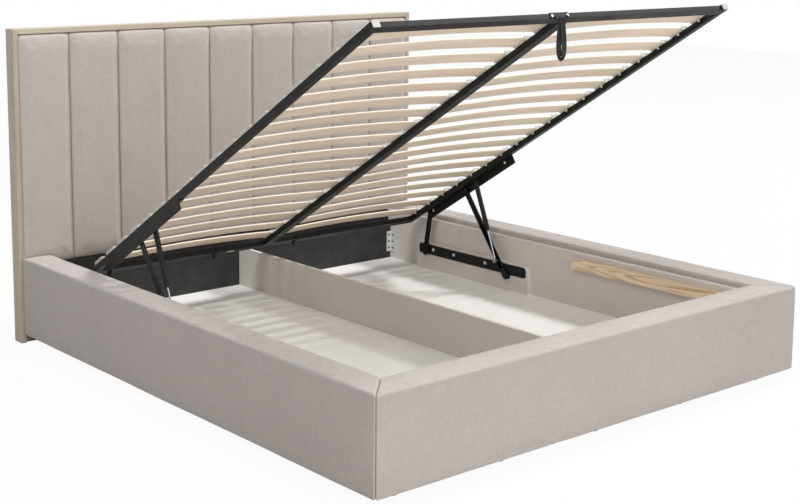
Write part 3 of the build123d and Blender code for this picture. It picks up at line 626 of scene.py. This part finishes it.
def headboard_pads():
    """Copies of the form side by side, each uneven in its own way, kept clear of the rails and lining."""
    form = pad_form()
    rail_front = HEAD_Y + 0.0006
    limit = PAD_WIDTH / 2 - PAD_GAP
    for index in range(PAD_COUNT):
        middle = (index - (PAD_COUNT - 1) / 2) * PAD_WIDTH
        mesh = form.copy()
        for vertex in mesh.vertices:
            x, y, z = vertex.co
            x = max(-limit, min(limit, x))
            wobble = noise.noise(Vector((index * 7.3, x * 6, z * 3.1)))
            pucker = noise.noise(Vector((index * 3.7, x * 40, z * 55)))
            near_seam = math.exp(-((limit - abs(x)) / 0.012) ** 2)
            near_top = math.exp(-((PAD_HIGH - z) / 0.03) ** 2)
            front = min(1.0, max(0.0, -y / 0.01))
            y -= front * (PAD_WOBBLE * wobble + PAD_PUCKER * pucker * max(near_seam, near_top))
            y -= front * PAD_BEAD * math.exp(-((limit - abs(x) - PAD_BEAD_INSET) / 0.005) ** 2)
            beside = abs(middle + x)
            if abs(z - RAIL_TOP) < 0.006 and beside > COVER_X:
                z = RAIL_TOP + (0.0008 if z > RAIL_TOP else -0.0010)
            at_rail = (beside > COVER_X and z < RAIL_TOP) or (beside > WELL_X and z < RAIL_TOP - LINING_DROP)
            y = max(y + PAD_BACK_Y, rail_front) if at_rail else y + PAD_BACK_Y
            vertex.co = (middle + x, y, z)
        smooth(mesh)
        replaced = ["headboard_channels"] if index == 0 else []
        pad = new_piece(f"headboard_pad_{index + 1}", mesh, "base", FABRIC, replaced)


# Rail covers
def cover_profile():
    """The cover's closed section as (in from the outer face, height) points, and how many of them show."""
    points = []

    def arc(centre, radius, start, end, steps):
        for k in range(steps + 1):
            turn = math.radians(start + (end - start) * k / steps)
            points.append((centre[0] + radius * math.cos(turn), centre[1] + radius * math.sin(turn)))

    def line(start, end, steps):
        for k in range(1, steps):
            share = k / steps
            points.append((start[0] + (end[0] - start[0]) * share, start[1] + (end[1] - start[1]) * share))

    low = (LOWER_ROUND, RAIL_BOTTOM + LOWER_ROUND)
    high = (OUTER_ROUND, RAIL_TOP - OUTER_ROUND)
    inner = (RAIL_THICKNESS - INNER_ROUND, RAIL_TOP - INNER_ROUND)
    arc(low, LOWER_ROUND, 270, 180, 4)
    line((0, low[1]), (0, high[1]), 16)
    arc(high, OUTER_ROUND, 180, 90, 8)
    line((high[0], RAIL_TOP), (inner[0], RAIL_TOP), 6)
    arc(inner, INNER_ROUND, 90, 0, 7)
    line((RAIL_THICKNESS, inner[1]), (RAIL_THICKNESS, RAIL_TOP - LIP_HEIGHT), 3)
    shown = len(points)
    lip_x = RAIL_THICKNESS - LIP_THICKNESS
    points.append((RAIL_THICKNESS, RAIL_TOP - LIP_HEIGHT))
    points.append((lip_x, RAIL_TOP - LIP_HEIGHT))
    points.append((lip_x, RAIL_TOP - COVER_TOP))
    points.append((COVER_SKIN, RAIL_TOP - COVER_TOP))
    points.append((COVER_SKIN, RAIL_BOTTOM))
    return points, shown


def stations(length, fine, coarse):
    """Places along a rail, closer together near both ends."""
    near = [0, 0.0005, 0.0014, 0.003, 0.005, 0.0075, 0.011, 0.016, 0.022]
    steps = [0.030 + fine * k for k in range(8)]
    ends = near + steps
    count = round((length - 2 * ends[-1]) / coarse)
    middle = [ends[-1] + (length - 2 * ends[-1]) * k / count for k in range(1, count)]
    return ends + middle + [length - value for value in reversed(ends)]


def sweep_cover(name, place, length, inset, seed):
    """A closed cover swept along a rail.

    place(depth, height, along) gives the world point, and inset(along) how far the skin is
    drawn in near a sewn or butted end.
    """
    profile, shown = cover_profile()
    along = stations(length, 0.012, 0.03)
    count = len(profile)
    normals = []
    for k in range(count):
        before = profile[k - 1]
        after = profile[(k + 1) % count]
        run = (after[0] - before[0], after[1] - before[1])
        size = math.hypot(*run) or 1
        normals.append((-run[1] / size, run[0] / size))
    mesh = bmesh.new()
    rings = []
    for y in along:
        ring = []
        for k, (depth, height) in enumerate(profile):
            drawn = 0.0
            if k < shown:
                point = Vector((depth * 3 + seed, height * 3, y * 2.2))
                soft = noise.noise(point) * COVER_SOFT + noise.noise(point * 3.3) * 0.0005
                near = min(y, length - y)
                fade = math.exp(-((near - 0.02) / 0.045) ** 2)
                pucker = noise.noise(Vector((depth * 60, height * 60, seed + y * 9))) * COVER_PUCKER * fade
                drawn = inset(y) - soft - pucker
            nx, nz = normals[k]
            ring.append(mesh.verts.new(place(depth - nx * drawn, height - nz * drawn, y)))
        rings.append(ring)
    for a, b in zip(rings, rings[1:]):
        for k in range(count):
            mesh.faces.new((a[k], a[(k + 1) % count], b[(k + 1) % count], b[k]))
    mesh.faces.new(rings[0])
    mesh.faces.new(list(reversed(rings[-1])))
    bmesh.ops.triangulate(mesh, faces=[face for face in mesh.faces if len(face.verts) > 4])
    bmesh.ops.recalc_face_normals(mesh, faces=mesh.faces)
    data = mesh_data(name, mesh)
    smooth(data)
    return data


def rolled(distance, radius):
    """How far a soft edge of that radius is drawn in at a distance from its end."""
    if distance >= radius:
        return 0.0
    return radius - math.sqrt(max(0.0, radius ** 2 - (radius - distance) ** 2))


def rail_covers():
    """Covers of the two side rails and the footboard, mitred where they meet at the foot corners."""
    length = HEAD_Y - FOOT_Y

    def side_inset(along):
        return min(rolled(along, COVER_SEAM), COVER_SEAM_DEPTH) + rolled(length - along, COVER_END_ROUND)

    def foot_inset(along):
        return min(rolled(min(along, 2 * RAIL_X - along), COVER_SEAM), COVER_SEAM_DEPTH)

    for name, side in (("left", -1), ("right", 1)):
        def place(depth, height, along):
            mitre = max(0.0, min(RAIL_THICKNESS, depth))
            start = FOOT_Y + mitre
            y = start + along * (HEAD_Y - start) / length
            return (side * (RAIL_X - depth), y, height)

        mesh = sweep_cover(f"side_cover_{name}", place, length, side_inset, 3.1 + side)
        piece = new_piece(mesh.name, mesh, "base", FABRIC, [f"side_rail_cover_{name}"])

    def foot_place(depth, height, along):
        mitre = max(0.0, min(RAIL_THICKNESS, depth))
        x = -RAIL_X + mitre + along * (RAIL_X - mitre) / RAIL_X
        return (x, FOOT_Y + depth, height)

    mesh = sweep_cover("foot_cover", foot_place, 2 * RAIL_X, foot_inset, 9.4)
    piece = new_piece(mesh.name, mesh, "base", FABRIC, ["footboard_cover"])


# Slats
def platform_matrix():
    """Takes platform coordinates (across, along from the foot, up) to the bed, lifted."""
    lift = next(joint for joint in frame["joints"] if joint["name"] == "platform_lift")
    pivot = Vector(lift["pos_m"])
    turn = Matrix.Rotation(-TILT, 4, "X")
    own = Vector((0, PLATFORM_LENGTH - JOINT_FROM_HEAD, -JOINT_DROP))
    return Matrix.Translation(pivot - turn @ own) @ turn


def slat_section():
    """Rounded section of a slat as (along, up) about its middle."""
    radius = SLAT_EDGE_ROUND
    corners = [(1, -1, 270), (1, 1, 0), (-1, 1, 90), (-1, -1, 180)]
    points = []
    for side, level, start in corners:
        centre = (side * (SLAT_WIDTH / 2 - radius), level * (SLAT_THICKNESS / 2 - radius))
        for k in range(4):
            turn = math.radians(start + 30 * k)
            points.append((centre[0] + radius * math.cos(turn), centre[1] + radius * math.sin(turn)))
    return points


def slat_column(name, side, seed):
    """One column of cambered slats."""
    rng = random.Random(seed)
    place = platform_matrix()
    section = slat_section()
    steps = 28
    chord = SLAT_OUTER - SLAT_INNER
    radius = (chord ** 2 / 4 + SLAT_CAMBER ** 2) / (2 * SLAT_CAMBER)
    centre_x = (SLAT_OUTER + SLAT_INNER) / 2
    base = BEAM_HEIGHT + SLAT_LIFT + SLAT_THICKNESS / 2
    mesh = bmesh.new()
    tone = mesh.verts.layers.float.new("tone")
    edge = mesh.verts.layers.float.new("edge")
    for row in range(SLAT_ROWS):
        own = rng.random()
        middle = FIRST_SLAT + row * SLAT_PITCH
        rings = []
        for k in range(steps + 1):
            x = SLAT_INNER + chord * k / steps
            run = x - centre_x
            rise = math.sqrt(radius ** 2 - run ** 2) - (radius - SLAT_CAMBER)
            lean = run / radius
            ring = []
            for along, up in section:
                point = Vector((side * (x + up * lean), middle + along, base + rise + up))
                vertex = mesh.verts.new(place @ point)
                vertex[tone] = own
                vertex[edge] = 1.0 if abs(along) > SLAT_WIDTH / 2 - SLAT_EDGE_BAND else 0.0
                ring.append(vertex)
            rings.append(ring)
        count = len(section)
        for a, b in zip(rings, rings[1:]):
            for k in range(count):
                mesh.faces.new((a[k], b[k], b[(k + 1) % count], a[(k + 1) % count]))
        mesh.faces.new(rings[0])
        mesh.faces.new(list(reversed(rings[-1])))
    bmesh.ops.recalc_face_normals(mesh, faces=mesh.faces)
    data = mesh_data(name, mesh)
    smooth(data)
    data.set_sharp_from_angle(angle=math.radians(40))
    return data


def slats():
    for name, side, seed in (("left", -1, 11), ("right", 1, 12)):
        mesh = slat_column(f"slat_column_{name}", side, seed)
        new_piece(mesh.name, mesh, "platform", SLAT, [f"slats_{name}"])


# Pull strap
def strap_section():
    """Section of the webbing as shares of its half width and half thickness, thicker at its edges."""
    edge, ridge, web = 1, 0.86, 0.8
    low = [(-edge, -1), (-ridge, -1), (-web, -0.75), (web, -0.75), (ridge, -1), (edge, -1)]
    return low + [(x, -y) for x, y in reversed(low)]


def pull_strap():
    """A loop of webbing: flat on its pin, opening and turning a little as it hangs."""
    low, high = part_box("pull_strap")
    pin = Vector(((low.x + high.x) / 2, high.y - STRAP_PIN_INSET, high.z - STRAP_PIN_INSET))
    drop = pin.z - low.z - STRAP_SHORT
    across = Vector((0.97, -0.10, 0))
    path = []
    for k in range(STRAP_STEPS + 1):
        turn = 2 * math.pi * k / STRAP_STEPS
        fall = (1 - math.cos(turn)) / 2
        side = -math.sin(turn) * (0.45 + 0.55 * fall)
        point = pin + across * (side * STRAP_SPREAD)
        point += Vector((STRAP_DRIFT * fall ** 1.3, 0.002 * fall, -drop * fall ** 0.8))
        path.append(point)
    mesh = bmesh.new()
    rings = []
    for k, point in enumerate(path):
        ahead = path[min(k + 1, STRAP_STEPS)]
        behind = path[max(k - 1, 0)]
        run = (ahead - behind).normalized()
        fall = (1 - math.cos(2 * math.pi * k / STRAP_STEPS)) / 2
        turn = STRAP_TURN * fall ** 2
        flat = Vector((math.cos(turn), math.sin(turn) * 0.6, 0))
        flat = (flat - run * flat.dot(run)).normalized()
        face = run.cross(flat).normalized()
        ring = []
        for level, up in strap_section():
            offset = flat * (level * STRAP_WIDTH / 2) + face * (up * STRAP_THICKNESS / 2)
            ring.append(mesh.verts.new(point + offset))
        rings.append(ring)
    count = len(rings[0])
    for a, b in zip(rings, rings[1:]):
        for k in range(count):
            mesh.faces.new((a[k], a[(k + 1) % count], b[(k + 1) % count], b[k]))
    mesh.faces.new(list(reversed(rings[0])))
    mesh.faces.new(rings[-1])
    bmesh.ops.recalc_face_normals(mesh, faces=mesh.faces)
    data = mesh_data("pull_strap_loop", mesh)
    smooth(data)
    data.set_sharp_from_angle(angle=math.radians(45))
    new_piece(data.name, data, "pull_strap", WEBBING, ["pull_strap"])


# Camera, floor and light
def camera():
    level = math.cos(CAMERA_PITCH)
    forward = Vector((math.sin(CAMERA_YAW) * level, math.cos(CAMERA_YAW) * level, -math.sin(CAMERA_PITCH)))
    right = forward.cross(Vector((0, 0, 1))).normalized()
    up = right.cross(forward)
    turned_right = right * math.cos(CAMERA_ROLL) + up * math.sin(CAMERA_ROLL)
    turned_up = up * math.cos(CAMERA_ROLL) - right * math.sin(CAMERA_ROLL)
    data = bpy.data.cameras.new("camera")
    data.sensor_width = 36
    data.lens = FOCAL_PIXELS * data.sensor_width / IMAGE_WIDTH
    data.shift_x = SHIFT_PIXELS[0] / IMAGE_WIDTH
    data.shift_y = SHIFT_PIXELS[1] / IMAGE_WIDTH
    data.clip_end = 60
    view = bpy.data.objects.new("camera", data)
    bpy.context.scene.collection.objects.link(view)
    axes = Matrix((turned_right, turned_up, -forward)).transposed().to_4x4()
    view.matrix_world = Matrix.Translation(CAMERA_PLACE) @ axes
    bpy.context.scene.camera = view


def floor():
    """Pale floor; to the eye and in gloss it is nearly plain white, with a faint shadow."""
    corners = [(x * FLOOR_HALF, y * FLOOR_HALF, 0) for x, y in ((-1, -1), (1, -1), (1, 1), (-1, 1))]
    data = bpy.data.meshes.new("floor")
    data.from_pydata(corners, [], [(0, 1, 2, 3)])
    piece = bpy.data.objects.new("floor", data)
    bpy.context.scene.collection.objects.link(piece)
    s = Shader("floor_paint", roughness=0.9, Specular_IOR_Level=0.1)
    s.colour(FLOOR_COLOUR)
    white = s.add("ShaderNodeEmission", {"Color": (1, 1, 1, 1), "Strength": 1.0})
    share = s.maths("MULTIPLY", seen_directly(s.tree), FLOOR_WHITE)
    blend = s.tree.nodes.new("ShaderNodeMixShader")
    s.tree.links.new(share, blend.inputs["Fac"])
    s.tree.links.new(s.surface.outputs[0], blend.inputs[1])
    s.tree.links.new(white.outputs[0], blend.inputs[2])
    s.tree.links.new(blend.outputs[0], s.tree.nodes["Material Output"].inputs["Surface"])
    data.materials.append(s.material)


def seen_directly(tree):
    """One for what the camera, gloss and clear material see, nought for light."""
    path = tree.nodes.new("ShaderNodeLightPath")
    factor = path.outputs["Is Camera Ray"]
    for kind in ("Is Glossy Ray", "Is Transmission Ray"):
        either = tree.nodes.new("ShaderNodeMath")
        either.operation = "MAXIMUM"
        tree.links.new(factor, either.inputs[0])
        tree.links.new(path.outputs[kind], either.inputs[1])
        factor = either.outputs[0]
    return factor


def area_light(name, place, aim, size, power):
    """A soft square lamp turned to the middle of the bed, at the height it aims at."""
    data = bpy.data.lights.new(name, "AREA")
    data.shape = "SQUARE"
    data.size = size
    data.energy = power
    light = bpy.data.objects.new(name, data)
    bpy.context.scene.collection.objects.link(light)
    light.location = place
    light.rotation_mode = "QUATERNION"
    light.rotation_quaternion = (Vector(place) - Vector((0, 0, aim))).to_track_quat("Z", "Y")


def lighting():
    """A world that is white to the eye and weak as light, and the lamps."""
    scene = bpy.context.scene
    scene.view_settings.view_transform = "Standard"
    world = bpy.data.worlds.new("studio")
    scene.world = world
    world.use_nodes = True
    tree = world.node_tree
    sky = tree.nodes["Background"]
    sky.inputs["Color"].default_value = (1, 1, 1, 1)
    sky.inputs["Strength"].default_value = WORLD_STRENGTH
    bare = tree.nodes.new("ShaderNodeBackground")
    bare.inputs["Color"].default_value = (1, 1, 1, 1)
    choose = tree.nodes.new("ShaderNodeMixShader")
    tree.links.new(seen_directly(tree), choose.inputs["Fac"])
    tree.links.new(sky.outputs[0], choose.inputs[1])
    tree.links.new(bare.outputs[0], choose.inputs[2])
    tree.links.new(choose.outputs[0], tree.nodes["World Output"].inputs["Surface"])
    for lamp in LAMPS:
        area_light(*lamp)


finish_cad_nodes()
headboard_pads()
rail_covers()
slats()
pull_strap()
floor()
camera()
lighting()
